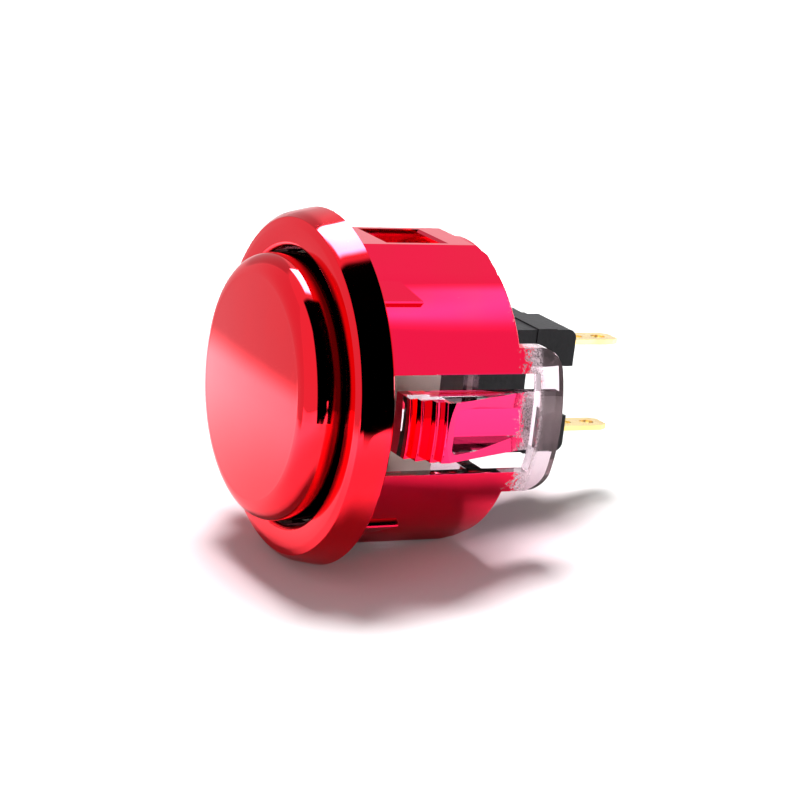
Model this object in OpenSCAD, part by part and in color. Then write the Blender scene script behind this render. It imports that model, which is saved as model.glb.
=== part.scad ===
// Snap-in arcade push button for a round panel hole, with its own slide switch.
// Millimetres. The origin is the centre of the panel seat, the back of the rim.
// -Y points out of the panel to the player, +Z up through the flat with a hook window,
// and X runs through the two snap clips.

/* [Panel hole and barrel] */
// Diameter of the panel hole that the button snaps into
panel_hole_d = 30; // [29:0.5:32]
// Gap between the barrel and the panel hole, all round
hole_gap = 0.6; // [0.4:0.1:0.9]
// Length of the barrel behind the panel seat
barrel_len = 14.3; // [13.8:0.1:15]
// Wall of the barrel
barrel_wall = 1.3; // [1:0.1:1.5]
// Rounding of the barrel's rear edge
barrel_round = 0.2; // [0.1:0.05:0.4]

/* [Rim] */
// How far the rim reaches past the panel hole, all round
rim_lap = 1.8; // [1.6:0.1:3]
// Height of the rim's crest above the seat
rim_height = 3.15; // [2.8:0.05:3.4]
// Radius of the crown across the rim's face
rim_crown_r = 9; // [7:0.5:12]
// Distance from the plunger's hole to the crest of the crown
rim_crest = 1.1; // [0.6:0.1:1.3]
// Lean of the rim's outer side towards the axis, in degrees
rim_lean = 12; // [6:1:15]
// Rounding of the rim's outer corner
rim_round = 1.4; // [1.1:0.1:1.6]
// Rounding of the edge of the plunger's hole
hole_round = 0.4; // [0.2:0.1:0.6]
// Bevel under the rim's outer edge
rim_bevel = 0.15; // [0.1:0.05:0.3]

/* [Flats and hook windows] */
// Width of the flat along the top and the bottom of the barrel
flat_w = 7.4; // [6.8:0.1:7.6]
// How far the flats' corners stay inside the panel hole
flat_corner_gap = 0.04; // [0.02:0.01:0.1]
// How far in front of the barrel's rear edge the flats end
flat_end = 1; // [0.8:0.1:1.4]
// How far the bevel behind a flat drops
flat_drop = 0.7; // [0.5:0.1:0.9]
// Width of the window in each flat
hook_window_w = 6.2; // [5.6:0.1:6.4]
// Where the hook windows begin behind the seat
hook_window_y = 4.3; // [4:0.1:4.6]
// Length of a hook window along the barrel
hook_window_len = 6.1; // [5.8:0.1:6.2]
// Length of the bevel at the rear end of a hook window
hook_window_bevel = 0.4; // [0.2:0.1:0.6]

/* [Locating ribs] */
// Length of the four ribs behind the rim
rib_len = 5; // [4:0.1:6]
// How far the ribs' crests stay inside the panel hole
rib_gap = 0.12; // [0.05:0.01:0.2]
// Angle of a rib's proud edge above the clips
rib_angle = 45.5; // [42:0.5:48]
// Angle that a rib covers round the barrel
rib_span = 11; // [9:0.5:13]
// Slant of a rib's rear end, in degrees
rib_slant = 27; // [10:1:35]
// Bevel along a rib's proud edge
rib_bevel = 0.12; // [0.05:0.01:0.2]

/* [Clips and rear tabs] */
// Height of the window round each clip
clip_window_h = 9.4; // [9:0.1:9.8]
// Where the clip windows begin behind the seat
clip_window_y = 1; // [0.8:0.1:1.2]
// How far the rear tabs reach past the barrel
tab_len = 4.3; // [4:0.1:5]
// Height of a rear tab
tab_h = 13.8; // [13:0.1:14.6]
// Rounding of a rear tab's corners
tab_round = 2; // [1.5:0.1:2.4]
// Length of the bar behind each clip window
bar_len = 2.4; // [2:0.1:2.6]
// Slot beside each clip
clip_slot = 1.9; // [1.6:0.1:2.1]
// How far a clip's inner face stands inside the bore
clip_inset = 1.1; // [0.9:0.1:1.3]
// Room for a clip to bend inwards before it meets the plunger
clip_room = 1; // [0.8:0.1:1.2]
// Where a clip's free end begins behind the seat
clip_front = 2.45; // [2.3:0.05:2.7]
// How far a clip's first step stands out of the barrel
step_first = 0.55; // [0.4:0.05:0.6]
// Rise of the second step over the first
step_2_rise = 0.75; // [0.6:0.05:1]
// Rise of the third step over the second
step_3_rise = 0.55; // [0.4:0.05:0.8]
// Rise of the last crest over the third step
step_4_rise = 0.25; // [0.1:0.05:0.4]
// Length of the first step
step_1_run = 0.8; // [0.6:0.05:1]
// Length of the second step
step_2_run = 1.2; // [0.9:0.05:1.3]
// Length of the third step
step_3_run = 1; // [0.7:0.05:1.2]
// Length of the last crest in front of the slope
step_4_run = 0.2; // [0.2:0.05:0.4]
// Fall of the first three steps towards the rear, in degrees
step_fall = 18; // [8:1:22]
// Rounding of the steps' crests
step_round = 0.15; // [0.1:0.05:0.2]
// Thickness of a clip at its root
clip_root_t = 0.9; // [0.8:0.05:1.1]
// Distance from the end of a clip's slope to the bar
clip_flat_end = 0.7; // [0.5:0.1:1.2]
// Thickness that is left under the pocket in a clip's slope
pocket_floor_t = 1.1; // [1:0.05:1.2]
// Width of the pocket's floor
pocket_floor_w = 2.6; // [2.2:0.1:3]
// Width of the pocket at its mouth
pocket_w = 4.2; // [3.6:0.1:4.6]
// Widening of the pocket for each millimetre of its depth, on each side
pocket_draft = 0.39; // [0.2:0.01:0.5]
// Lip left between the last step and the pocket
pocket_lip = 0.75; // [0.6:0.05:1]
// Rounding of the pocket's front corners
pocket_round = 0.6; // [0.3:0.1:0.9]

/* [Bulkhead] */
// How far the wall inside the barrel lies in front of the rear edge
bulkhead_set = 3.9; // [3.7:0.1:4]
// Thickness of that wall
bulkhead_t = 1.6; // [1.4:0.1:1.8]
// Room behind each clip in that wall
relief_room = 2.2; // [1.6:0.1:2.6]
// Gap round the switch in that wall
switch_gap = 0.15; // [0.1:0.05:0.3]

/* [Plunger cap] */
// Travel of the plunger
travel = 3; // [2.6:0.1:3]
// Gap that is left at the end of the travel
end_gap = 0.1; // [0.05:0.05:0.2]
// Gap between the cap and its hole, all round
cap_gap = 0.6; // [0.35:0.05:0.7]
// Height of the cap's face above the seat
cap_height = 6.9; // [6.4:0.1:7.4]
// Radius of the cap's slightly domed face
cap_dome_r = 190; // [150:10:250]
// Rounding of the cap's edge
cap_round = 2; // [1.4:0.1:2.4]
// Wall of the cap
cap_wall = 1.2; // [1:0.1:1.4]

/* [Plunger carrier] */
// Gap between the carrier's neck and the cap
neck_gap = 0.08; // [0.05:0.01:0.15]
// Wall of the carrier
carrier_wall = 1.2; // [1:0.1:1.4]
// Gap between the carrier's skirt and the bore
skirt_gap = 0.3; // [0.2:0.05:0.4]
// Radius of the post that works the switch
post_r = 2; // [1.8:0.1:2.4]
// How far the post ends in front of the skirt's end
post_short = 0.7; // [0.5:0.1:1]
// Thickness of the webs round the post
web_t = 0.9; // [0.8:0.1:1.2]
// Depth of the webs behind the carrier's top
web_len = 4; // [3:0.1:5]
// Width of a retaining hook
hook_w = 3.2; // [2.8:0.1:4]
// How far a hook reaches out of the bore into its window
hook_reach = 0.5; // [0.4:0.1:0.7]
// Length of a hook along the travel
hook_len = 1.5; // [1.2:0.1:1.6]
// Length of the slope behind a hook
hook_slope = 0.4; // [0.2:0.1:0.6]
// Gap in front of a hook at rest
hook_gap = 0.1; // [0.05:0.05:0.2]

/* [Switch case] */
// Width of the switch, across the clips' axis
switch_w = 6.4; // [6.2:0.1:6.6]
// Height of the switch
switch_h = 12.3; // [12:0.1:12.6]
// How far the switch's front lies behind the front of the bulkhead
switch_set = 0.5; // [0.4:0.1:0.7]
// Length of the cover
cover_len = 6.2; // [6:0.1:6.4]
// Length of the base, without its bosses
base_len = 3.8; // [3.6:0.1:4]
// Length of the terminal bosses
boss_len = 5.1; // [4.8:0.1:5.4]
// Height of a terminal boss
boss_h = 3.65; // [3.4:0.05:3.8]
// Rounding of the bosses' rear corners
boss_round = 0.9; // [0.6:0.1:1.2]
// Wall of the switch case
case_wall = 0.9; // [0.8:0.05:0.95]
// Front wall of the cover
cover_front_t = 1; // [0.9:0.05:1.1]
// Floor of the base
base_floor_t = 1.6; // [1.4:0.1:1.7]
// Height of the lip that centres the base in the cover
lip_h = 0.8; // [0.6:0.1:1]
// Thickness of that lip
lip_t = 0.35; // [0.3:0.05:0.4]
// Reach of the stops that rest behind the bulkhead
stop_reach = 0.8; // [0.6:0.1:1]
// Thickness of the stops along the axis
stop_t = 1.2; // [1:0.1:1.4]
// Running gap between the switch's own parts
part_gap = 0.1; // [0.05:0.01:0.1]

/* [Latch] */
// How far the collar with the latch lies behind the recess's floor
collar_set = 0.7; // [0.6:0.1:0.9]
// Length of the collar along the axis
collar_len = 2.1; // [1.8:0.1:2.3]
// How far the collar stands out of the case
collar_rise = 0.12; // [0.08:0.02:0.2]
// Height of the latch's finger
finger_h = 2.6; // [2.2:0.1:2.8]
// Thickness of the latch's finger
finger_t = 1.2; // [1:0.1:1.4]
// Gap between the finger and the rear tab
finger_gap = 0.3; // [0.2:0.05:0.4]
// Reach of the finger's tooth into the window
tooth_reach = 0.8; // [0.6:0.1:1]
// Length of the tooth
tooth_len = 1.3; // [1:0.1:1.4]
// Length of the slope on the tooth
tooth_slope = 0.9; // [0.6:0.1:0.9]
// Gap on each side of the tooth in its slot
tooth_side_gap = 0.25; // [0.15:0.05:0.35]

/* [Switch inside] */
// Width of the actuator's body
actuator_w = 3.5; // [3.3:0.1:3.5]
// Height of the actuator's body
actuator_h = 4.6; // [4.2:0.1:4.8]
// Length of the actuator's body
actuator_len = 3.6; // [3.4:0.1:3.8]
// Thickness over the actuator's bore
actuator_top_t = 1; // [0.8:0.1:1.2]
// Step from the body to the tip that passes the cover
tip_step = 0.3; // [0.2:0.05:0.4]
// Radius of the bore for the spring
spring_bore_r = 1.25; // [1.2:0.05:1.3]
// Mean radius of the return spring
spring_r = 0.95; // [0.9:0.01:1]
// Wire of the return spring
spring_wire = 0.28; // [0.2:0.02:0.3]
// Turns of the return spring
spring_turns = 7; // [5:1:8]
// Height of the spigot inside the spring
spigot_h = 1.2; // [0.8:0.1:1.6]
// Thickness of the sliding contact
bridge_t = 0.2; // [0.15:0.05:0.25]
// Width of the contact's arms
bridge_arm_w = 2; // [1.6:0.1:2.4]
// Width of the contact's plate round the spring
bridge_plate_w = 3.3; // [3:0.1:3.4]
// How far the plate reaches past the actuator
bridge_foot = 0.4; // [0.2:0.05:0.5]
// How far the arms reach forward
bridge_rise = 2.4; // [2.2:0.1:2.5]
// Radius of the beads that touch the blades
bead_r = 0.25; // [0.2:0.05:0.3]
// Gap between a bead and its blade in the model
bead_gap = 0.05; // [0.03:0.01:0.08]

/* [Terminals] */
// Width of a terminal blade
blade_w = 2.8; // [2.6:0.1:3]
// Thickness of a blade
blade_t = 0.5; // [0.4:0.1:0.6]
// Distance from the case's upper or lower face to the middle of a blade
blade_inset = 1.75; // [1.65:0.05:1.9]
// How far the blades stand out of their bosses
blade_out = 6.2; // [5.8:0.1:7]
// Chamfer of a blade's tip along the blade
tip_chamfer = 0.8; // [0.5:0.1:1]
// Chamfer of a blade's tip across the blade
tip_narrow = 0.5; // [0.3:0.1:0.8]
// Distance from a blade's tip to the middle of its long hole
slot_back = 1.75; // [1.6:0.05:2]
// Length of the long hole
slot_len = 1.5; // [1.3:0.1:1.7]
// Width of the long hole
slot_w = 1.1; // [0.9:0.1:1.3]
// Diameter of the round hole at a blade's root
pin_hole_d = 1; // [0.8:0.1:1.2]
// Distance from the boss to the middle of the round hole
pin_hole_out = 2.1; // [1.6:0.1:2.2]
// How far the blades' inner legs reach into the cover
leg_in = 2.8; // [2.5:0.1:2.9]
// Width of the inner legs
leg_w = 2.2; // [2:0.1:2.6]

/* [Hidden] */
$fn = 96;
// Overlap of pieces that are fused, overshoot of cutters, and how far a cut reaches past a round wall
eps = 0.05;
over = 1;
bite = 0.2;

hole_r = panel_hole_d / 2;
barrel_r = hole_r - hole_gap;
bore_r = barrel_r - barrel_wall;
mid_wall_r = barrel_r - barrel_wall / 2;
rim_r = hole_r + rim_lap;
flat_corner_r = hole_r - flat_corner_gap;
flat_height = sqrt(pow(flat_corner_r, 2) - pow(flat_w / 2, 2));
// Angle from the flat's middle to where its sloping side meets the barrel
flat_side_angle = asin(flat_w / 2 / flat_corner_r) + acos(barrel_r / flat_corner_r);
rib_r = hole_r - rib_gap;

tab_end = barrel_len + tab_len;
clip_window_end = tab_end - bar_len;
clip_w = clip_window_h - 2 * clip_slot;
clip_inner = bore_r - clip_inset;
clip_root_x = clip_inner + clip_root_t;
step_1_r = barrel_r + step_first;
step_2_r = step_1_r + step_2_rise;
step_3_r = step_2_r + step_3_rise;
step_4_r = step_3_r + step_4_rise;
step_2_y = clip_front + step_1_run;
step_3_y = step_2_y + step_2_run;
step_4_y = step_3_y + step_3_run;
slope_y = step_4_y + step_4_run;
slope_end_y = clip_window_end - clip_flat_end;
pocket_y = slope_y + pocket_lip;
bulkhead_y = barrel_len - bulkhead_set;
bulkhead_end = bulkhead_y + bulkhead_t;

cap_r = bore_r - cap_gap;
cap_end = travel - clip_front + end_gap;
neck_r = cap_r - cap_wall - neck_gap;
neck_top = cap_height - cap_wall;
neck_floor = neck_top - carrier_wall;
skirt_r = bore_r - skirt_gap;
skirt_flat = clip_inner - clip_room;
skirt_end = bulkhead_y - travel - end_gap;
hook_y = hook_window_y + hook_gap;

case_inner_w = switch_w - 2 * case_wall;
case_inner_h = switch_h - 2 * case_wall;
switch_y = bulkhead_y + switch_set;
cover_floor_y = switch_y + cover_front_t;
seam_y = switch_y + cover_len;
recess_y = seam_y + base_len;
base_floor_y = recess_y - base_floor_t;
boss_y = recess_y + boss_len;
collar_y = recess_y + collar_set;
blade_z = switch_h / 2 - blade_inset;
latch_x = sqrt(pow(bore_r, 2) - pow(switch_h / 2, 2)) - finger_gap;

actuator_y = cover_floor_y + part_gap;
actuator_end_y = actuator_y + actuator_len;
tip_y = skirt_end - post_short;
post_end_y = tip_y - part_gap;
tip_w = actuator_w - 2 * tip_step;
tip_h = actuator_h - 2 * tip_step;
spring_seat_y = actuator_y + actuator_top_t;
blade_end = boss_y + blade_out;
leg_y = seam_y - leg_in;

// The pieces are drawn with z pointing out of the panel and y up, then laid down
module laid_down() {
    rotate([90, 0, 0]) children();
}

// A block from y_from to y_to behind the seat, centred on the axis or on the point at
module block_behind(w, h, y_from, y_to, at = [0, 0]) {
    translate([at[0] - w / 2, at[1] - h / 2, -y_to]) cube([w, h, y_to - y_from]);
}

// A slice of width w, from an outline of distance from the axis and height over the seat
module across(w) {
    rotate([90, 0, 0]) translate([0, 0, -w / 2]) linear_extrude(w) children();
}

// The same along X, from an outline of height and distance over the seat
module along_x(w) {
    translate([-w / 2, 0, 0]) rotate([90, 0, 90]) linear_extrude(w) children();
}

// Outline from y_from to y_to behind the seat, with two rounded corners at its front or its rear
module rounded_end(w, y_from, y_to, r, at_front = false) {
    corner_y = at_front ? y_from + r : y_to - r;
    translate([-w / 2, at_front ? -y_to : -corner_y]) square([w, y_to - y_from - r]);
    translate([-w / 2 + r, -y_to]) square([w - 2 * r, y_to - y_from]);
    for (s = [-1, 1]) translate([s * (w / 2 - r), -corner_y]) circle(r);
}

// Centre of an arc of radius r inside a crown, given as [x, z, radius], on the line x = a - m * z
function tucked(crown, r, a, m = 0) =
    let (d = a - crown[0], b = crown[1] + m * d, c = d * d + pow(crown[1], 2) - pow(crown[2] - r, 2))
    let (h = (b + sqrt(b * b - (1 + m * m) * c)) / (1 + m * m))
    [a - m * h, h];

// Point outside a crown, on the ray from its centre through p
function beyond(crown, p) =
    let (centre = [crown[0], crown[1]])
    centre + (crown[2] + over) / norm(p - centre) * (p - centre);

// Rim: a crowned ring with a leaning side, a rounded outer corner and a rounded edge at the hole
module rim() {
    crown = [bore_r + rim_crest, rim_height - rim_crown_r, rim_crown_r];
    side_x = rim_r + rim_bevel * tan(rim_lean);
    outer = tucked(crown, rim_round, side_x - rim_round / cos(rim_lean), tan(rim_lean));
    inner = tucked(crown, hole_round, bore_r + hole_round);
    rotate_extrude() {
        polygon([
            [bore_r, 0], [rim_r - rim_bevel, 0], [rim_r, rim_bevel],
            outer + rim_round * [cos(rim_lean), sin(rim_lean)], outer, inner, [bore_r, inner[1]]
        ]);
        translate(outer) circle(rim_round);
        translate(inner) circle(hole_round);
        intersection() {
            translate([crown[0], crown[1]]) circle(crown[2], $fn = 720);
            polygon([
                [inner[0], 0], [outer[0], 0], outer,
                beyond(crown, outer), beyond(crown, inner), inner
            ]);
        }
    }
}

// Barrel wall with a rounded rear edge
module barrel() {
    corner_z = -barrel_len + barrel_round;
    rotate_extrude() {
        translate([bore_r, corner_z]) square([barrel_wall, -corner_z + eps]);
        translate([bore_r, -barrel_len]) square([barrel_wall - barrel_round, barrel_len]);
        translate([barrel_r - barrel_round, corner_z]) circle(barrel_round);
    }
}

// Flats with sloping sides that leave the barrel at a tangent, bevelled at their rear ends
module flats() {
    side_x = barrel_r * sin(flat_side_angle);
    side_y = barrel_r * cos(flat_side_angle);
    rear_z = -barrel_len + barrel_round;
    for (turn = [0, 180]) rotate([0, 0, turn]) intersection() {
        translate([0, 0, rear_z]) linear_extrude(eps - rear_z) difference() {
            polygon([
                [-side_x, side_y], [-flat_w / 2, flat_height],
                [flat_w / 2, flat_height], [side_x, side_y], [0, 0]
            ]);
            circle(mid_wall_r);
        }
        along_x(2 * rim_r) polygon([
            [0, eps], [flat_height, eps], [flat_height, -barrel_len + flat_end],
            [flat_height - flat_drop, rear_z], [0, rear_z]
        ]);
    }
}

// Windows in the flats, in which the plunger's hooks slide, with a bevel at the rear end
module hook_windows() {
    rear = -hook_window_y - hook_window_len;
    for (turn = [0, 180]) rotate([0, 0, turn]) along_x(hook_window_w) polygon([
        [bore_r - bite, -hook_window_y], [flat_height + over, -hook_window_y],
        [flat_height + over, rear - hook_window_bevel], [flat_height, rear - hook_window_bevel],
        [flat_height - hook_window_bevel / 2, rear], [bore_r - bite, rear]
    ]);
}

// Ribs that centre the barrel in the panel hole: wedges with one proud edge and a slanting end
module ribs() {
    function polar(r, a) = [r * cos(a), r * sin(a)];
    flush_angle = rib_angle + rib_span;
    bevel_angle = rib_bevel / rib_r * 180 / PI;
    for (sx = [0, 1], sy = [0, 1]) mirror([sx, 0, 0]) mirror([0, sy, 0]) difference() {
        translate([0, 0, -rib_len]) linear_extrude(rib_len + eps) polygon([
            polar(rib_r, rib_angle + bevel_angle), polar(barrel_r, flush_angle),
            polar(mid_wall_r, flush_angle), polar(mid_wall_r, rib_angle),
            polar(rib_r - rib_bevel, rib_angle)
        ]);
        rotate([0, 0, rib_angle]) translate([rib_r, 0, -rib_len]) rotate([rib_slant, 0, 0])
            translate([-over, -rib_len, -rib_len]) cube([2 * over, 2 * rib_len, rib_len]);
    }
}

// Rear tabs: the barrel's wall carried on behind the clips, with rounded corners
module rear_tabs() {
    intersection() {
        difference() {
            translate([0, 0, -tab_end]) cylinder(h = tab_len + barrel_round + eps, r = barrel_r);
            translate([0, 0, -tab_end - over]) cylinder(h = tab_len + 3 * over, r = bore_r);
        }
        along_x(2 * rim_r) rounded_end(tab_h, 0, tab_end, tab_round);
    }
}

// Half section of one step with a rounded crest, which falls from there towards the rear
module step_section(r, y_from, y_to, fall) {
    centre = [r - step_round * (tan(fall) + 1 / cos(fall)), -y_from - step_round];
    polygon([
        [0, -y_to], [0, -y_from], [centre[0], -y_from], centre,
        centre + step_round * [cos(fall), -sin(fall)], [r - (y_to - y_from) * tan(fall), -y_to]
    ]);
    translate(centre) circle(step_round);
}

// Pocket that cores out a clip's slope, with sloping walls and rounded front corners
module clip_pocket() {
    floor_x = clip_inner + pocket_floor_t;
    depth = rim_r - floor_x;
    mouth = pocket_floor_w / 2 + depth * pocket_draft;
    intersection() {
        translate([0, 0, -slope_end_y]) linear_extrude(slope_end_y - pocket_y) polygon([
            [floor_x, -pocket_floor_w / 2], [rim_r, -mouth], [rim_r, mouth], [floor_x, pocket_floor_w / 2]
        ]);
        along_x(3 * rim_r) rounded_end(pocket_w, pocket_y, slope_end_y, pocket_round, at_front = true);
    }
}

// Snap clip: a tongue on the bar, with round steps that grip the panel and a long slope behind them
module clip() {
    difference() {
        intersection() {
            across(clip_w) polygon([
                [clip_inner, -clip_front], [rim_r, -clip_front], [step_4_r, -slope_y],
                [clip_root_x, -slope_end_y], [clip_root_x, -clip_window_end - eps],
                [mid_wall_r, -clip_window_end - eps], [mid_wall_r, -tab_end], [clip_inner, -tab_end]
            ]);
            rotate_extrude() {
                step_section(step_1_r, clip_front, step_2_y + eps, step_fall);
                step_section(step_2_r, step_2_y, step_3_y + eps, step_fall);
                step_section(step_3_r, step_3_y, step_4_y + eps, step_fall);
                step_section(step_4_r, step_4_y, tab_end, 0);
            }
        }
        clip_pocket();
    }
}

// Wall across the barrel that holds the switch, relieved behind the clips
module bulkhead() {
    relief_w = clip_inset + relief_room + over;
    relief_x = clip_inner - relief_room + relief_w / 2;
    cut_from = bulkhead_y - over;
    cut_to = bulkhead_end + over;
    difference() {
        translate([0, 0, -bulkhead_end]) cylinder(h = bulkhead_t, r = bore_r + eps);
        block_behind(switch_w + 2 * switch_gap, switch_h + 2 * switch_gap, cut_from, cut_to);
        for (s = [-1, 1]) block_behind(relief_w, clip_window_h, cut_from, cut_to, [s * relief_x, 0]);
    }
}

module housing() {
    color("crimson") laid_down() {
        difference() {
            union() {
                rim();
                barrel();
                flats();
                ribs();
                rear_tabs();
            }
            hook_windows();
            block_behind(3 * rim_r, clip_window_h, clip_window_y, clip_window_end);
        }
        for (turn = [0, 180]) rotate([0, 0, turn]) clip();
        bulkhead();
    }
}

// Cap: a domed disc with a rounded edge and a short skirt, hollow from behind
module plunger_cap() {
    dome = [0, cap_height - cap_dome_r, cap_dome_r];
    corner = tucked(dome, cap_round, cap_r - cap_round);
    color("red") laid_down() rotate_extrude() difference() {
        union() {
            translate([0, cap_end]) square([cap_r, corner[1] - cap_end]);
            translate(corner) circle(cap_round);
            intersection() {
                translate([dome[0], dome[1]]) circle(dome[2], $fn = 720);
                polygon([
                    [0, cap_end], [corner[0], cap_end], corner, beyond(dome, corner), [0, cap_height + over]
                ]);
            }
        }
        translate([-over, cap_end - over]) square([over + cap_r - cap_wall, over + neck_top - cap_end]);
    }
}

// Outline of the carrier's skirt, round with a flat behind each clip
module skirt_outline(inset) {
    intersection() {
        circle(skirt_r - inset);
        square([2 * (skirt_flat - inset), 2 * skirt_r], center = true);
    }
}

// Carrier: the neck fills the cap, the skirt slides in the bore and the post works the switch
module plunger_carrier() {
    web_w = 2 * (neck_r - carrier_wall + eps);
    hollow_r = neck_r - carrier_wall - neck_gap;
    hook_root_r = skirt_r - carrier_wall / 2;
    color("antiquewhite") laid_down() {
        difference() {
            union() {
                translate([0, 0, cap_end - eps]) cylinder(h = neck_top - cap_end + eps, r = neck_r);
                translate([0, 0, -skirt_end]) linear_extrude(skirt_end + cap_end) skirt_outline(0);
            }
            translate([0, 0, -skirt_end - over]) linear_extrude(skirt_end + cap_end + over - carrier_wall)
                skirt_outline(carrier_wall);
            translate([0, 0, -skirt_end]) cylinder(h = skirt_end + neck_floor, r = hollow_r);
        }
        translate([0, 0, -post_end_y]) cylinder(h = post_end_y + neck_floor + eps, r = post_r);
        for (turn = [0, 90]) rotate([0, 0, turn])
            translate([-web_w / 2, -web_t / 2, neck_floor - web_len]) cube([web_w, web_t, web_len + eps]);
        for (turn = [0, 180]) rotate([0, 0, turn]) along_x(hook_w) polygon([
            [hook_root_r, -hook_y], [bore_r + hook_reach, -hook_y],
            [bore_r + hook_reach, -hook_y - hook_len / 2], [hook_root_r, -hook_y - hook_len - hook_slope]
        ]);
    }
}

// Cover: the front half of the case, with the actuator's opening and the rests for the open contact
module switch_cover() {
    stop_y = bulkhead_end + eps;
    stop_z = (switch_h + stop_reach - eps) / 2;
    color("dimgray") laid_down() {
        difference() {
            block_behind(switch_w, switch_h, switch_y, seam_y);
            block_behind(case_inner_w, case_inner_h, cover_floor_y, seam_y + over);
            block_behind(tip_w + 2 * part_gap, tip_h + 2 * part_gap, switch_y - over, cover_floor_y + over);
        }
        for (s = [-1, 1]) {
            block_behind(switch_w, stop_reach + eps, stop_y, stop_y + stop_t, [0, s * stop_z]);
            translate([0, s * blade_z, 0])
                block_behind(case_inner_w + 2 * eps, blade_t, cover_floor_y - eps, leg_y - part_gap);
        }
    }
}

// Latch on one side: an arm, and a finger that runs forward and hooks in front of the tab's bar
module latch() {
    arm_w = latch_x - switch_w / 2;
    arm_x = -(switch_w + arm_w - eps) / 2;
    finger_z = (switch_h - finger_h) / 2;
    tooth_end = clip_window_end - finger_gap;
    tooth_y = tooth_end - tooth_len;
    block_behind(arm_w + eps, finger_h, collar_y, collar_y + collar_len, [arm_x, finger_z]);
    block_behind(finger_t, finger_h, tooth_y, collar_y + eps, [-latch_x + finger_t / 2, finger_z]);
    translate([0, (clip_window_h - clip_slot) / 2, 0]) across(clip_slot - 2 * tooth_side_gap) polygon([
        [-latch_x + eps, -tooth_y], [-latch_x - tooth_reach, -tooth_y - tooth_slope],
        [-latch_x - tooth_reach, -tooth_end], [-latch_x + eps, -tooth_end]
    ]);
}

// Base: the rear half of the case, with two bosses that hold the terminals
module switch_base() {
    lip_w = case_inner_w - 2 * part_gap;
    lip_height = case_inner_h - 2 * part_gap;
    collar_w = switch_w + 2 * collar_rise;
    collar_h = switch_h + 2 * collar_rise;
    color("darkslategray") laid_down() {
        difference() {
            union() {
                along_x(switch_w) rounded_end(switch_h, seam_y, boss_y, boss_round);
                block_behind(collar_w, collar_h, collar_y, collar_y + collar_len);
                block_behind(lip_w, lip_height, seam_y - lip_h, seam_y + eps);
                latch();
            }
            block_behind(2 * switch_w, switch_h - 2 * boss_h, recess_y, boss_y + over);
            block_behind(lip_w - 2 * lip_t, lip_height - 2 * lip_t, seam_y - lip_h - over, base_floor_y);
            for (s = [-1, 1]) translate([0, s * blade_z, 0])
                block_behind(blade_w + part_gap, blade_t + part_gap, base_floor_y - over, boss_y + over);
        }
        translate([0, 0, -base_floor_y - eps])
            cylinder(h = spigot_h + eps, r = spring_r - spring_wire / 2 - part_gap);
    }
}

// Actuator: a tip that passes the cover, and a hollow body that holds the spring
module actuator() {
    color("ivory") laid_down() difference() {
        union() {
            block_behind(tip_w, tip_h, tip_y, actuator_y + eps);
            block_behind(actuator_w, actuator_h, actuator_y, actuator_end_y);
        }
        translate([0, 0, -actuator_end_y - over])
            cylinder(h = actuator_end_y + over - spring_seat_y, r = spring_bore_r);
    }
}

// Sliding contact under the actuator: its arms rest on the cover and slide onto the blades
module contact_bridge() {
    foot = actuator_h / 2 + bridge_foot;
    bead = blade_z - blade_t / 2 - bead_gap - bead_r;
    bead_z = bridge_rise - actuator_end_y;
    plate_z = -actuator_end_y - bridge_t;
    color("goldenrod") laid_down() {
        difference() {
            block_behind(bridge_plate_w, 2 * foot, actuator_end_y, actuator_end_y + bridge_t);
            translate([0, 0, -actuator_end_y - over]) cylinder(h = 2 * over, r = spring_bore_r);
        }
        for (turn = [0, 180]) rotate([0, 0, turn]) along_x(bridge_arm_w) {
            polygon([
                [foot - bridge_t, plate_z], [foot, plate_z],
                [bead + bridge_t / 2, bead_z], [bead - bridge_t / 2, bead_z]
            ]);
            translate([bead, bead_z]) circle(bead_r);
        }
    }
}

// Return spring: a round wire wound from the base's floor up into the actuator, with closed ends
module return_spring() {
    sides = 8;
    per_turn = 16;
    steps = spring_turns * per_turn;
    low = -base_floor_y + spring_wire / 2;
    high = -spring_seat_y - spring_wire / 2;
    // Touching turns at both ends, and even ones between them
    closed = spring_wire * 1.02;
    function height(t) = t < 1 ? t * closed
        : t > spring_turns - 1 ? high - low - (spring_turns - t) * closed
        : closed + (t - 1) * (high - low - 2 * closed) / (spring_turns - 2);
    points = [for (i = [0:steps]) for (j = [0:sides - 1])
        let (a = 360 * i / per_turn, b = 360 * j / sides, r = spring_r + spring_wire / 2 * cos(b))
        [r * cos(a), r * sin(a), low + height(i / per_turn) + spring_wire / 2 * sin(b)]];
    ends = [[for (j = [0:sides - 1]) j], [for (j = [sides - 1:-1:0]) steps * sides + j]];
    walls = [for (i = [0:steps - 1]) for (j = [0:sides - 1])
        let (k = (j + 1) % sides) [i * sides + k, i * sides + j, (i + 1) * sides + j, (i + 1) * sides + k]];
    color("silver") laid_down() polyhedron(points, concat(ends, walls), convexity = 10);
}

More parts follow.
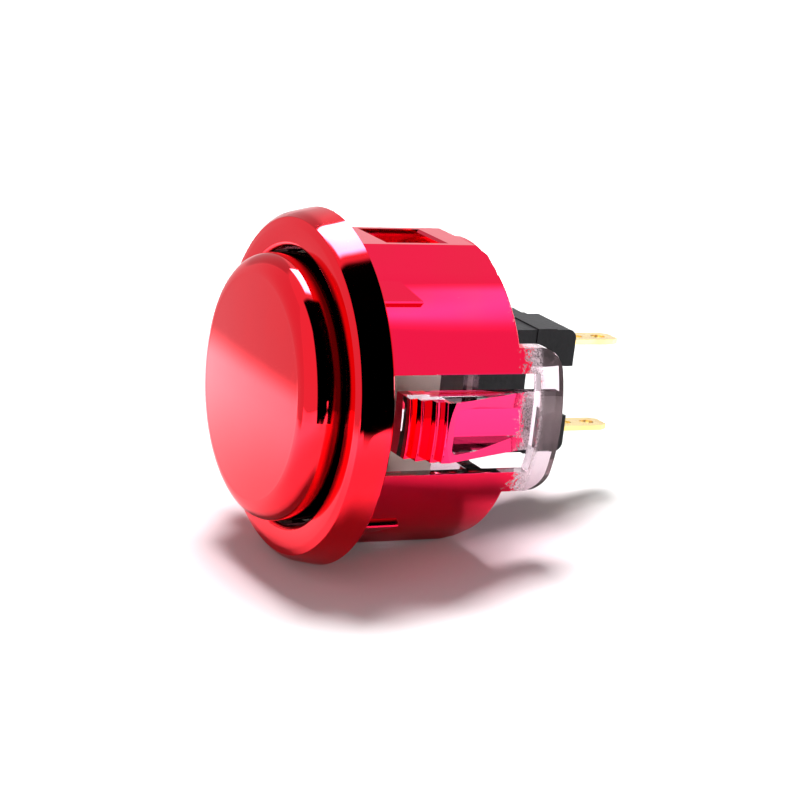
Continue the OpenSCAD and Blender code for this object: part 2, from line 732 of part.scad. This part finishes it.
// Terminal blade: a tab with a chamfered tip and two holes, and a narrower leg inside the switch
module terminal(side) {
    shoulder = -seam_y - (blade_w - leg_w) / 2;
    slot_z = -blade_end + slot_back;
    slot_half = (slot_len - slot_w) / 2;
    color("gold") laid_down() translate([0, side * blade_z, 0]) rotate([90, 0, 0])
        translate([0, 0, -blade_t / 2]) linear_extrude(blade_t) difference() {
            polygon([
                [-leg_w / 2, -leg_y], [-leg_w / 2, -seam_y], [-blade_w / 2, shoulder],
                [-blade_w / 2, -blade_end + tip_chamfer], [-blade_w / 2 + tip_narrow, -blade_end],
                [blade_w / 2 - tip_narrow, -blade_end], [blade_w / 2, -blade_end + tip_chamfer],
                [blade_w / 2, shoulder], [leg_w / 2, -seam_y], [leg_w / 2, -leg_y]
            ]);
            translate([-slot_w / 2, slot_z - slot_half]) square([slot_w, 2 * slot_half]);
            for (s = [-1, 1]) translate([0, slot_z + s * slot_half]) circle(d = slot_w);
            translate([0, -boss_y - pin_hole_out]) circle(d = pin_hole_d);
        }
}

module terminal_upper() { terminal(1); }
module terminal_lower() { terminal(-1); }

housing();
plunger_cap();
plunger_carrier();
switch_cover();
switch_base();
actuator();
contact_bridge();
return_spring();
terminal_upper();
terminal_lower();
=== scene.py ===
"""Looks of the snap-in arcade push button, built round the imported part."""

import math

import bpy
from mathutils import Matrix, Vector

MM = 0.001

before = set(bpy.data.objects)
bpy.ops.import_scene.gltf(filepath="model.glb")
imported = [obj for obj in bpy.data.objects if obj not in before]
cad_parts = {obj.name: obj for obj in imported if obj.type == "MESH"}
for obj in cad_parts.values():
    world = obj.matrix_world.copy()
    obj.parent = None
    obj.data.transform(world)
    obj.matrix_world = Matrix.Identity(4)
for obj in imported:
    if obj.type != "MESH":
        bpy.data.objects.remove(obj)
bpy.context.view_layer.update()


# Nodes
class Graph:
    """The nodes of a material or of the world, with short names for the ones used here."""

    def __init__(self, owner, output="ShaderNodeOutputMaterial"):
        self.owner = owner
        owner.use_nodes = True
        self.tree = owner.node_tree
        self.tree.nodes.clear()
        self.out = self.node(output)

    def node(self, kind, **props):
        n = self.tree.nodes.new(kind)
        for key, value in props.items():
            setattr(n, key, value)
        return n

    def link(self, source, socket):
        """Joins an output to the socket, or gives the socket a number, a vector or a colour."""
        if isinstance(source, (int, float)):
            socket.default_value = source
        elif isinstance(source, (tuple, list)):
            alpha = (1.0,) * (len(socket.default_value) - len(source))
            socket.default_value = tuple(source) + alpha
        else:
            self.tree.links.new(source, socket)

    def math(self, op, a, b=0.0, clamp=False):
        n = self.node("ShaderNodeMath", operation=op, use_clamp=clamp)
        self.link(a, n.inputs[0])
        self.link(b, n.inputs[1])
        return n.outputs[0]

    def chain(self, op, values):
        result = values[0]
        for value in values[1:]:
            result = self.math(op, result, value)
        return result

    def plus(self, *values):
        return self.chain("ADD", values)

    def times(self, *values):
        return self.chain("MULTIPLY", values)

    def most(self, *values):
        return self.chain("MAXIMUM", values)

    def minus(self, a, b, clamp=False):
        return self.math("SUBTRACT", a, b, clamp)

    def above(self, value, limit):
        """1 above the limit, 0 elsewhere."""
        return self.math("GREATER_THAN", value, limit)

    def below(self, value, limit):
        """1 below the limit, 0 elsewhere."""
        return self.math("LESS_THAN", value, limit)

    def sway(self, noise, amount):
        """A noise about 0.5 as a change about 0."""
        return self.times(self.minus(noise, 0.5), amount)

    def vmath(self, op, a, b=None, scale=None):
        n = self.node("ShaderNodeVectorMath", operation=op)
        self.link(a, n.inputs[0])
        if b is not None:
            self.link(b, n.inputs[1])
        if scale is not None:
            self.link(scale, n.inputs["Scale"])
        return n.outputs["Value"] if op in ("DOT_PRODUCT", "LENGTH") else n.outputs["Vector"]

    def ramp(self, value, low, high, smooth=True):
        """0 up to low and 1 from high on, where high may also be the smaller one."""
        n = self.node("ShaderNodeMapRange", interpolation_type="SMOOTHSTEP" if smooth else "LINEAR")
        self.link(value, n.inputs["Value"])
        self.link(min(low, high), n.inputs["From Min"])
        self.link(max(low, high), n.inputs["From Max"])
        rising = n.outputs["Result"]
        return rising if low < high else self.minus(1.0, rising)

    def coords(self):
        """A point's place in its piece's own coordinates, in metres."""
        return self.node("ShaderNodeTexCoord").outputs["Object"]

    def split(self, vector):
        """(x, y, z) of a vector."""
        xyz = self.node("ShaderNodeSeparateXYZ")
        self.link(vector, xyz.inputs[0])
        return xyz.outputs["X"], xyz.outputs["Y"], xyz.outputs["Z"]

    def geometry(self, output):
        return self.node("ShaderNodeNewGeometry").outputs[output]

    def ray(self, kind):
        """1 for rays of this kind, 0 for the others."""
        return self.node("ShaderNodeLightPath").outputs["Is " + kind + " Ray"]

    def noise(self, coords, scale, detail=3.0, roughness=0.5):
        n = self.node("ShaderNodeTexNoise")
        self.link(coords, n.inputs["Vector"])
        self.link(scale, n.inputs["Scale"])
        self.link(detail, n.inputs["Detail"])
        self.link(roughness, n.inputs["Roughness"])
        return n.outputs["Fac"]

    def stretch(self, coords, scale):
        n = self.node("ShaderNodeMapping")
        self.link(coords, n.inputs["Vector"])
        self.link(scale, n.inputs["Scale"])
        return n.outputs["Vector"]

    def mix(self, fac, a, b):
        """Colour a where fac is 0, b where it is 1."""
        n = self.node("ShaderNodeMix", data_type="RGBA")
        self.link(fac, n.inputs[0])
        self.link(a, n.inputs[6])
        self.link(b, n.inputs[7])
        return n.outputs[2]

    def bump(self, height, distance, strength, normal=None):
        n = self.node("ShaderNodeBump")
        self.link(height, n.inputs["Height"])
        self.link(distance, n.inputs["Distance"])
        self.link(strength, n.inputs["Strength"])
        if normal is not None:
            self.link(normal, n.inputs["Normal"])
        return n.outputs["Normal"]

    def shaped(self, fac, direction):
        """The surface's own normal, replaced by a direction in the piece's coordinates where fac is 1."""
        turned = self.node(
            "ShaderNodeVectorTransform",
            vector_type="NORMAL",
            convert_from="OBJECT",
            convert_to="WORLD",
        )
        self.link(direction, turned.inputs[0])
        n = self.node("ShaderNodeMix", data_type="VECTOR")
        self.link(fac, n.inputs[0])
        self.link(self.geometry("Normal"), n.inputs[4])
        self.link(turned.outputs[0], n.inputs[5])
        return n.outputs[1]

    def coloured(self, kind, colour, strength=None):
        """A shader of one colour, and of a strength if it is a light."""
        n = self.node(kind)
        self.link(colour, n.inputs["Color"])
        if strength is not None:
            self.link(strength, n.inputs["Strength"])
        return n.outputs[0]

    def transparent(self):
        return self.node("ShaderNodeBsdfTransparent").outputs[0]

    def either(self, fac, a, b):
        """Shader a where fac is 0, b where it is 1."""
        n = self.node("ShaderNodeMixShader")
        self.link(fac, n.inputs[0])
        self.link(a, n.inputs[1])
        self.link(b, n.inputs[2])
        return n.outputs[0]

    def surface(self, shader):
        self.link(shader, self.out.inputs["Surface"])
        return self.owner

    def glow_where(self, fac, strength):
        """White light of this strength where fac is 1, nothing where it is 0."""
        glow = self.coloured("ShaderNodeEmission", WHITE, strength)
        return self.surface(self.either(fac, self.transparent(), glow))

    def principled(self, **values):
        """The Principled shader, with its sockets named in words."""
        n = self.node("ShaderNodeBsdfPrincipled")
        for key, value in values.items():
            self.link(value, n.inputs[key.replace("_", " ")])
        return self.surface(n.outputs[0])


def material_graph(name):
    return Graph(bpy.data.materials.new(name))


# Sizes and places on the part, the outer ones read from its meshes
def reach(node, axis):
    """How far a piece goes along an axis, to the nearest micrometre."""
    return round(max(vertex.co[axis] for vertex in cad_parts[node].data.vertices), 6)


RIM_R = reach("housing", 0)
CAP_R = reach("plunger_cap", 0)
TAB_END = reach("housing", 1)
BORE_R = RIM_R - 3.7 * MM
RIM_BEVEL = 0.15 * MM
FLAT_R = 14.5 * MM
FLAT_END = 13.3 * MM

FORWARD = (0.0, -1.0, 0.0)
# Factors that leave of a place only what lies across the axis
ACROSS = (1.0, 0.0, 1.0)

# Colours
WHITE = (1.0, 1.0, 1.0)
COOL_WHITE = (0.97, 0.98, 1.0)
RED = (0.88, 0.008, 0.022)
MAGENTA = (0.88, 0.004, 0.056)
HAZED = (0.7, 0.02, 0.04)
ROSE = (0.8, 0.022, 0.14)
SHADED = (0.1, 0.0, 0.008)
CLEAR = (0.66, 0.53, 0.59)
FROSTED = (0.8, 0.62, 0.68)

# The metallised layer, smooth apart from fine scratches and a slight ripple of the moulding
MIRROR_ROUGH = 0.045
SCRATCH_ROUGH = 0.04
RIPPLE_DEPTH = 0.02 * MM
RIPPLE_STRENGTH = 0.6
RIPPLE_SCALE = 60.0
HAZE_SCALE = 220.0
HAZE_RANGE = (0.35, 0.7)
HAZE_SHARE = 0.12
SCRATCH_STRETCH = (900.0, 90.0, 260.0)
SCRATCH_RANGE = (0.45, 0.75)
MAGENTA_Y = (-1.0 * MM, 2.0 * MM)
LACQUER = {"Specular_Tint": (1.0, 0.72, 0.75), "Coat_Roughness": 0.06}

# The cap: its dome, as one over a radius of about 190 mm, and the part of its side in the bore
DOME_BEND = 5.26
DOME_EDGE_R = CAP_R - 1.9 * MM
DOME_BLEND = 0.5 * MM
DOME_BACK_Y = -4.0 * MM
CAP_SIDE_R = CAP_R - 0.2 * MM
CAP_SHADE_Y = (-4.4 * MM, -3.7 * MM)

# The rim's outer corner: radii between which it leans further outwards, and the leans in radians
CORNER_START_R = (RIM_R - 1.9 * MM, RIM_R - 1.5 * MM)
CORNER_R = RIM_R - 1.06 * MM
CORNER_WIDTH = 0.12 * MM
BRIM_R = RIM_R - 0.3 * MM
FACE_LEAN = 0.2
CORNER_LEAN = 0.95
BRIM_LEAN = 0.21
CORNER_BACK_Y = -0.2 * MM

# The clips, and how far outwards a face must look to be plated
CLIP_HALF_H = 4.76 * MM
CLIP_INNER_X = 9.0 * MM
SLOPE_Y = (4.8 * MM, 6.0 * MM)
SLOPE_SHARE = 0.8
PLATED_R = 12.05 * MM
RISER_R = 14.25 * MM
RISER_FACING_Y = -0.3
LEAST_OUTWARD = -0.25
CLIP_OUTWARD = 0.7

# The rim and the bore: where their plating ends and where the bore's shade begins
RIM_PLATED_Y = 0.2 * MM
BORE_PLATED_Y = 3.5 * MM
BORE_WALL_R = BORE_R + 0.35 * MM
BORE_SHADE_Y = (-2.9 * MM, -2.4 * MM)
BORE_OUTWARD = -0.5

# The end of the plating, between the barrel and the rear tabs, and the clear plastic there
FADE_Y = (TAB_END - 1.8 * MM, TAB_END - 5.1 * MM)
RAGGED = 2.2 * MM
SPECKLED = 1.6
SPECKLE_SCALE = 2600.0
PATCH_SCALE = 330.0
COVER_RANGE = (0.4, 0.6)
FROST_START_Y = (14.2 * MM, 15.2 * MM)
FROST_END_Y = (16.8 * MM, 16.1 * MM)
GRIT_SCALE = 5200.0
GRIT_RANGE = (0.3, 0.6)
FROST_OPAQUE = 0.75
CLEAR_ROUGH = 0.03
CLEAR_IOR = 1.49

# The moulded plastics and the bare metals
TONE_SCALE = 160.0
TONE_RANGE = (0.35, 0.7)
TONE_ROUGH = 0.15
TARNISH_SCALE = 420.0
TARNISH_RANGE = (0.4, 0.75)
BRUSH_STRETCH = (300.0, 3000.0, 3000.0)
BRUSH_ROUGH = 0.16
BRUSH_DEPTH = 0.004 * MM


# Materials
def plating(g, coords, y):
    """(colour, roughness, ripple) of the red metallised layer."""
    haze = g.noise(coords, HAZE_SCALE, detail=4.0)
    scratches = g.noise(g.stretch(coords, SCRATCH_STRETCH), 1.0, roughness=0.6)
    red = g.mix(g.ramp(y, *MAGENTA_Y), RED, MAGENTA)
    red = g.mix(g.times(g.ramp(haze, *HAZE_RANGE), HAZE_SHARE), red, HAZED)
    rough = g.plus(MIRROR_ROUGH, g.times(g.ramp(scratches, *SCRATCH_RANGE), SCRATCH_ROUGH))
    return red, rough, g.noise(coords, RIPPLE_SCALE, detail=2.0)


def plated_cap(name):
    """Plastic with the red layer all over, on the cap."""
    g = material_graph(name)
    coords = g.coords()
    y = g.split(coords)[1]
    flat = g.vmath("MULTIPLY", coords, ACROSS)
    radius = g.vmath("LENGTH", flat)
    red, rough, ripple = plating(g, coords, y)
    # The shallow dome looks along its own radius at every point
    lean = g.vmath("MULTIPLY", flat, (DOME_BEND, 0.0, DOME_BEND))
    dome = g.vmath("NORMALIZE", g.vmath("ADD", lean, FORWARD))
    on_dome = g.times(
        g.ramp(radius, DOME_EDGE_R, DOME_EDGE_R - DOME_BLEND),
        g.below(y, DOME_BACK_Y),
    )
    normal = g.bump(ripple, RIPPLE_DEPTH, RIPPLE_STRENGTH, g.shaped(on_dome, dome))
    # Its side is dark where the bore shades it
    shade = g.times(g.ramp(y, *CAP_SHADE_Y), g.above(radius, CAP_SIDE_R))
    return g.principled(
        Base_Color=g.mix(shade, red, SHADED),
        Metallic=1.0,
        Roughness=rough,
        Normal=normal,
        Coat_Weight=0.25,
        Coat_Normal=normal,
        **LACQUER,
    )


def rim_corner(g, y, radius, radial, outward):
    """The surface's normal, which turns in a narrow band at the rim's outer corner."""
    corner = g.ramp(radius, CORNER_R, CORNER_R + CORNER_WIDTH)
    brim = g.ramp(radius, CORNER_R + CORNER_WIDTH, BRIM_R)
    lean = g.plus(FACE_LEAN, g.times(corner, CORNER_LEAN), g.times(brim, BRIM_LEAN))
    outwards = g.vmath("SCALE", radial, scale=g.math("SINE", lean))
    forwards = g.vmath("SCALE", FORWARD, scale=g.math("COSINE", lean))
    on_corner = g.times(
        g.ramp(radius, *CORNER_START_R),
        g.below(y, CORNER_BACK_Y),
        g.above(outward, 0.0),
    )
    return g.shaped(on_corner, g.vmath("ADD", outwards, forwards))


def plated_housing(name):
    """Clear plastic with the red layer on the outside, which ends in speckles near the rear."""
    g = material_graph(name)
    coords = g.coords()
    x, y, z = g.split(coords)
    flat = g.vmath("MULTIPLY", coords, ACROSS)
    radius = g.vmath("LENGTH", flat)
    radial = g.vmath("NORMALIZE", flat)
    facing = g.geometry("True Normal")
    # How far a face looks outwards from the axis
    outward = g.vmath("DOT_PRODUCT", facing, radial)
    red, rough, ripple = plating(g, coords, y)
    corner = rim_corner(g, y, radius, radial, outward)
    normal = g.bump(ripple, RIPPLE_DEPTH, RIPPLE_STRENGTH, corner)
    near_clip = g.times(
        g.below(g.math("ABSOLUTE", z), CLIP_HALF_H),
        g.above(g.math("ABSOLUTE", x), CLIP_INNER_X),
    )
    # The thin plating of the clips' slopes has a cooler tone
    slope = g.times(near_clip, g.ramp(y, *SLOPE_Y))
    red = g.mix(g.times(slope, SLOPE_SHARE), red, ROSE)
    # Outer faces are plated, and near the clips only those that look well outwards
    limit = g.plus(LEAST_OUTWARD, g.times(near_clip, CLIP_OUTWARD))
    outer = g.times(g.above(outward, limit), g.above(radius, PLATED_R))
    # The clips' risers are plated too, and they look to the front
    riser = g.times(g.below(g.split(facing)[1], RISER_FACING_Y), g.above(radius, RISER_R))
    # The rim is plated all round, and the bore for some way in
    rim = g.below(y, RIM_PLATED_Y)
    in_bore = g.below(radius, BORE_WALL_R)
    bore = g.times(g.below(y, BORE_PLATED_Y), in_bore)
    plated = g.most(outer, riser, rim, bore)
    # The end of the plating is ragged and speckled
    speckle = g.noise(coords, SPECKLE_SCALE, roughness=0.7)
    patch = g.noise(coords, PATCH_SCALE, detail=2.0)
    fade = g.ramp(g.plus(y, g.sway(patch, RAGGED)), *FADE_Y, smooth=False)
    cover = g.ramp(g.plus(fade, g.sway(speckle, SPECKLED)), *COVER_RANGE)
    metal_part = g.times(plated, cover)
    clear_part = g.minus(1.0, metal_part)
    # The plastic is frosted where the plating thins out
    grit = g.ramp(g.noise(coords, GRIT_SCALE, detail=2.0, roughness=0.7), *GRIT_RANGE)
    frost = g.times(
        g.ramp(y, *FROST_START_Y),
        g.ramp(y, *FROST_END_Y),
        plated,
        grit,
        clear_part,
    )
    # The wall of the bore round the cap is painted dark, as painted shade
    shade = g.times(g.below(outward, BORE_OUTWARD), in_bore, g.ramp(y, *BORE_SHADE_Y))
    return g.principled(
        Base_Color=g.mix(metal_part, g.mix(frost, CLEAR, FROSTED), g.mix(shade, red, SHADED)),
        Metallic=metal_part,
        Transmission_Weight=g.minus(clear_part, g.times(frost, FROST_OPAQUE), clamp=True),
        Roughness=g.plus(g.times(metal_part, rough), g.times(clear_part, CLEAR_ROUGH)),
        IOR=CLEAR_IOR,
        Normal=normal,
        Coat_Weight=0.14,
        Coat_Normal=normal,
        **LACQUER,
    )


def plastic(name, colour, dark, rough, gloss=0.5, grain=0.01 * MM, scale=1400.0):
    """Moulded plastic with a fine grain and small changes of tone and roughness."""
    g = material_graph(name)
    coords = g.coords()
    tone = g.noise(coords, TONE_SCALE, detail=4.0)
    fine = g.noise(coords, scale, roughness=0.6)
    return g.principled(
        Base_Color=g.mix(g.ramp(tone, *TONE_RANGE), colour, dark),
        Roughness=g.plus(rough, g.sway(tone, TONE_ROUGH)),
        Normal=g.bump(fine, grain, strength=0.8),
        Specular_IOR_Level=gloss,
    )


def metal(name, colour, dark, rough):
    """Bright metal with a brushed grain and tarnish in patches."""
    g = material_graph(name)
    coords = g.coords()
    lines = g.noise(g.stretch(coords, BRUSH_STRETCH), 1.0, roughness=0.6)
    patch = g.noise(coords, TARNISH_SCALE, detail=4.0)
    return g.principled(
        Base_Color=g.mix(g.ramp(patch, *TARNISH_RANGE), colour, dark),
        Metallic=1.0,
        Roughness=g.plus(rough, g.sway(lines, BRUSH_ROUGH)),
        Normal=g.bump(lines, BRUSH_DEPTH, strength=0.6),
    )


NATURAL = {"colour": (0.74, 0.68, 0.58), "dark": (0.64, 0.57, 0.48), "rough": 0.5, "gloss": 0.35}
IVORY = {"colour": (0.83, 0.8, 0.7), "dark": (0.74, 0.7, 0.59), "rough": 0.4}
MATT_GRAIN = {"gloss": 0.16, "grain": 0.05 * MM, "scale": 1900.0}
BLACK_COVER = {"colour": (0.008, 0.008, 0.009), "dark": (0.02, 0.019, 0.021), "rough": 0.5}
BLACK_BASE = {"colour": (0.008, 0.008, 0.01), "dark": (0.02, 0.019, 0.022), "rough": 0.46}
BRASS = {"colour": (0.78, 0.56, 0.22), "dark": (0.62, 0.42, 0.16), "rough": 0.28}
STEEL = {"colour": (0.66, 0.67, 0.69), "dark": (0.5, 0.5, 0.52), "rough": 0.25}
GOLD = {"colour": (0.95, 0.72, 0.3), "dark": (0.86, 0.6, 0.22), "rough": 0.2}

LOOKS = {
    "housing": plated_housing("red_plating_on_clear"),
    "plunger_cap": plated_cap("red_plating"),
    "plunger_carrier": plastic("natural_plastic", **NATURAL),
    "switch_cover": plastic("black_plastic_cover", **BLACK_COVER, **MATT_GRAIN),
    "switch_base": plastic("black_plastic_base", **BLACK_BASE, **MATT_GRAIN),
    "actuator": plastic("ivory_plastic", **IVORY),
    "contact_bridge": metal("brass_strip", **BRASS),
    "return_spring": metal("spring_wire", **STEEL),
    "terminal_upper": metal("gold_plate_upper", **GOLD),
    "terminal_lower": metal("gold_plate_lower", **GOLD),
}
for node, material in LOOKS.items():
    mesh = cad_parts[node].data
    mesh.materials.clear()
    mesh.materials.append(material)

# The table. The button rests on its rim and on the rear edge of the lower flat
FRONT_EDGE = Vector((0.0, -RIM_BEVEL, -RIM_R))
REAR_EDGE = Vector((0.0, FLAT_END, -FLAT_R))
AHEAD = (REAR_EDGE - FRONT_EDGE).normalized()
SIDE = Vector((1.0, 0.0, 0.0))
UP = SIDE.cross(AHEAD)
CENTRE = Vector((0.0, 6.0 * MM, 0.0))
FOOT = CENTRE + UP * (FRONT_EDGE - CENTRE).dot(UP)
HEIGHT = (CENTRE - FOOT).length
TABLE_HALF = 1.5

PAPER = (0.85, 0.85, 0.85)
FIBRE = (0.8, 0.795, 0.79)
# A darker, redder colour for the paper near the part: painted shade and painted red light
PAINTED_RED_SHADE = (0.62, 0.4, 0.46)
PAINTED_SHADE_REACH = (31.0 * MM, 18.0 * MM)
SHINE_REACH = (30.0 * MM, 100.0 * MM)
EVEN_REACH = (60.0 * MM, 500.0 * MM)
FIBRE_SCALE = 900.0
FIBRE_SHARE = 0.1
PAINTED_SHADE_SHARE = 0.8
SHINE = 1.9
EVEN_NEAR, EVEN_GAIN = 0.06, 0.85


def from_centre(g):
    """A point's place, counted from the middle of the button."""
    return g.vmath("SUBTRACT", g.coords(), tuple(CENTRE))


def paper_material(name):
    """White paper, seen from above only."""
    g = material_graph(name)
    away = g.vmath("LENGTH", from_centre(g))
    fibre = g.noise(g.coords(), FIBRE_SCALE, detail=4.0, roughness=0.6)
    paper = g.mix(g.times(fibre, FIBRE_SHARE), PAPER, FIBRE)
    # Painted red light and painted shade on the paper close to the part, which make it darker and redder
    # there
    painted_red_shade = g.times(g.ramp(away, *PAINTED_SHADE_REACH), PAINTED_SHADE_SHARE)
    diffuse = g.coloured("ShaderNodeBsdfDiffuse", g.mix(painted_red_shade, paper, PAINTED_RED_SHADE))
    # The lamps are near, so the paper is kept white where their light falls off
    seen = g.most(g.ray("Camera"), g.ray("Transmission"))
    even = g.plus(EVEN_NEAR, g.times(g.ramp(away, *EVEN_REACH), EVEN_GAIN))
    # It is over-lit in reflections, away from the part
    shine = g.times(g.ray("Glossy"), g.ramp(away, *SHINE_REACH), SHINE)
    glow = g.coloured("ShaderNodeEmission", WHITE, g.plus(g.times(seen, even), shine))
    both = g.node("ShaderNodeAddShader")
    g.link(diffuse, both.inputs[0])
    g.link(glow, both.inputs[1])
    return g.surface(g.either(g.geometry("Backfacing"), both.outputs[0], g.transparent()))


def add_mesh(name, points, faces, material):
    mesh = bpy.data.meshes.new(name)
    mesh.from_pydata([tuple(point) for point in points], [], faces)
    mesh.materials.append(material)
    obj = bpy.data.objects.new(name, mesh)
    bpy.context.scene.collection.objects.link(obj)
    return obj


def table(name):
    corners = ((-1, -1), (1, -1), (1, 1), (-1, 1))
    points = [FOOT + SIDE * (a * TABLE_HALF) + AHEAD * (b * TABLE_HALF) for a, b in corners]
    obj = add_mesh(name, points, [(0, 1, 2, 3)], paper_material("white_table"))


table("table")

# Studio cards, which only reflections see
CARD_STEPS = 24
CARD_CLEAR = 1.0 * MM
BAND_STEPS = 32
BAND_R = 30.0 * MM
BAND_FRONT_SOFT = 1.5 * MM
BAND_REAR_SOFT = 0.4 * MM
# Counted in the soft edge of a band's high end
LOW_SOFT = 2.5
TAPER_LENGTH = 9.0
# The front's taper as a share of the rear's
FRONT_TAPER = 0.7


def stage_card(name, points, faces, material):
    obj = add_mesh(name, points, faces, material)
    obj.visible_camera = False
    obj.visible_diffuse = False
    obj.visible_transmission = False
    obj.visible_shadow = False
    obj.visible_volume_scatter = False


def towards(azimuth, elevation):
    """Direction over the table. Azimuth 0 is +X and 90 the button's rear."""
    a, e = math.radians(azimuth), math.radians(elevation)
    level = SIDE * (math.cos(a) * math.cos(e)) + AHEAD * (math.sin(a) * math.cos(e))
    return level + UP * math.sin(e)


def card_material(name, azimuths, elevations, strength, soft):
    """An even light whose borders fade over some degrees."""
    g = material_graph(name)
    offset = from_centre(g)
    middle = 0.5 * (azimuths[0] + azimuths[1])
    forwards = g.vmath("DOT_PRODUCT", offset, tuple(towards(middle, 0.0)))
    sideways = g.vmath("DOT_PRODUCT", offset, tuple(towards(middle + 90.0, 0.0)))
    angle = g.math("ABSOLUTE", g.math("ARCTAN2", sideways, forwards))
    lift = g.math("ARCSINE", g.vmath("DOT_PRODUCT", g.vmath("NORMALIZE", offset), tuple(UP)))
    half = math.radians(0.5 * (azimuths[1] - azimuths[0]))
    low, high = math.radians(elevations[0]), math.radians(elevations[1])
    edge = math.radians(soft)
    inside = g.times(
        g.ramp(angle, half, half - edge),
        g.ramp(lift, low, low + edge),
        g.ramp(lift, high, high - edge),
    )
    return g.glow_where(inside, strength)


def card(name, azimuths, elevations, distance, strength, soft):
    """A curved card round the button. Low down it comes closer, to stay just over the table."""
    points, faces = [], []
    for j in range(CARD_STEPS + 1):
        e = elevations[0] + (elevations[1] - elevations[0]) * j / CARD_STEPS
        away = distance
        if e < 0.0:
            away = min(distance, (HEIGHT - CARD_CLEAR) / math.sin(math.radians(-e)))
        for i in range(CARD_STEPS + 1):
            a = azimuths[0] + (azimuths[1] - azimuths[0]) * i / CARD_STEPS
            points.append(CENTRE + towards(a, e) * away)
    row = CARD_STEPS + 1
    for j in range(CARD_STEPS):
        for i in range(CARD_STEPS):
            k = j * row + i
            faces.append((k, k + 1, k + row + 1, k + row))
    stage_card(name, points, faces, card_material(name, azimuths, elevations, strength, soft))


def band_material(name, angles, span, strength, soft, tip):
    """An even light whose ends fade over some degrees and whose low end may taper."""
    g = material_graph(name)
    x, y, z = g.split(g.coords())
    angle = g.math("ARCTAN2", z, x)
    low, high, edge = math.radians(angles[0]), math.radians(angles[1]), math.radians(soft)
    taper = g.times(g.ramp(angle, low + TAPER_LENGTH * edge, low), tip)
    front = g.minus(y, g.times(taper, FRONT_TAPER))
    rear = g.plus(y, taper)
    inside = g.times(
        g.ramp(angle, low, low + LOW_SOFT * edge),
        g.ramp(angle, high, high - edge),
        g.ramp(front, span[0], span[0] + BAND_FRONT_SOFT),
        g.ramp(rear, span[1], span[1] - BAND_REAR_SOFT),
    )
    return g.glow_where(inside, strength)


def band(name, angles, span, strength, soft, tip=0.0):
    """A strip of a tube round the front of the button, from one angle to another and along the axis."""
    points = []
    for i in range(BAND_STEPS + 1):
        a = math.radians(angles[0] + (angles[1] - angles[0]) * i / BAND_STEPS)
        points += [(BAND_R * math.cos(a), y, BAND_R * math.sin(a)) for y in span]
    faces = [(2 * i, 2 * i + 1, 2 * i + 3, 2 * i + 2) for i in range(BAND_STEPS)]
    stage_card(name, points, faces, band_material(name, angles, span, strength, soft, tip))


card("dark_side", (-28.0, 22.0), (-11.0, 60.0), distance=0.2, strength=0.0, soft=4.0)
card("dim_front", (-203.0, -95.0), (-8.0, 60.0), distance=0.22, strength=0.88, soft=2.0)
card("dim_left", (-203.0, -160.0), (5.0, 60.0), distance=0.21, strength=0.6, soft=6.0)
card("bright_rear", (45.0, 98.0), (36.0, 62.0), distance=0.23, strength=4.6, soft=14.0)

band("black_flag", (-15.0, 79.0), (-12.5 * MM, 8.0 * MM), strength=0.0, soft=4.0, tip=10.0 * MM)
band("clip_flag", (-14.0, 10.0), (7.8 * MM, 16.5 * MM), strength=0.0, soft=3.0)
band("softbox", (80.5, 110.0), (-4.5 * MM, 7.5 * MM), strength=42.0, soft=2.0)


# World and lamps
def studio_world(name):
    """A dim light, which looks white where it is seen straight, mirrored or through clear plastic."""
    g = Graph(bpy.data.worlds.new(name), "ShaderNodeOutputWorld")
    seen = g.most(g.ray("Camera"), g.ray("Glossy"), g.ray("Transmission"))
    dim = g.coloured("ShaderNodeBackground", COOL_WHITE, strength=0.2)
    white = g.coloured("ShaderNodeBackground", WHITE, strength=1.0)
    return g.surface(g.either(seen, dim, white))


def lamp(name, azimuth, elevation, distance, size, power):
    """A square lamp that looks at the button and isn't mirrored in it."""
    data = bpy.data.lights.new(name, "AREA")
    data.shape = "SQUARE"
    data.size = size
    data.energy = power
    obj = bpy.data.objects.new(name, data)
    bpy.context.scene.collection.objects.link(obj)
    back = towards(azimuth, elevation)
    obj.location = CENTRE + back * distance
    obj.rotation_mode = "QUATERNION"
    obj.rotation_quaternion = (-back).to_track_quat("-Z", "Y")
    obj.visible_glossy = False


bpy.context.scene.world = studio_world("studio")
lamp("key", azimuth=152.0, elevation=77.0, distance=0.45, size=0.15, power=3.2)
lamp("fill", azimuth=-40.0, elevation=45.0, distance=0.6, size=0.5, power=0.5)

# The camera, at the photograph's angle
AZIMUTH, ELEVATION, ROLL = math.radians(61.918), math.radians(14.533), math.radians(6.555)
PHOTO_WIDTH_PX = 800.0
FOCAL_PX = 2470.79
SENSOR_MM = 36.0
CAMERA_RIGHT, CAMERA_DOWN, CAMERA_BACK = 8.0408 * MM, 1.3445 * MM, 232.0705 * MM


def add_camera(name):
    back = Vector(
        (
            math.sin(AZIMUTH) * math.cos(ELEVATION),
            -math.cos(AZIMUTH) * math.cos(ELEVATION),
            math.sin(ELEVATION),
        )
    )
    level = Vector((math.cos(AZIMUTH), math.sin(AZIMUTH), 0.0))
    right = level * math.cos(ROLL) + back.cross(level) * math.sin(ROLL)
    up = back.cross(right)
    data = bpy.data.cameras.new(name)
    data.sensor_width = SENSOR_MM
    data.lens = FOCAL_PX * SENSOR_MM / PHOTO_WIDTH_PX
    data.clip_start, data.clip_end = 0.01, 10.0
    obj = bpy.data.objects.new(name, data)
    bpy.context.scene.collection.objects.link(obj)
    place = right * CAMERA_RIGHT - up * CAMERA_DOWN + back * CAMERA_BACK
    obj.matrix_world = Matrix.Translation(place) @ Matrix((right, up, back)).transposed().to_4x4()
    bpy.context.scene.camera = obj


add_camera("camera")
bpy.context.scene.view_settings.view_transform = "Standard"
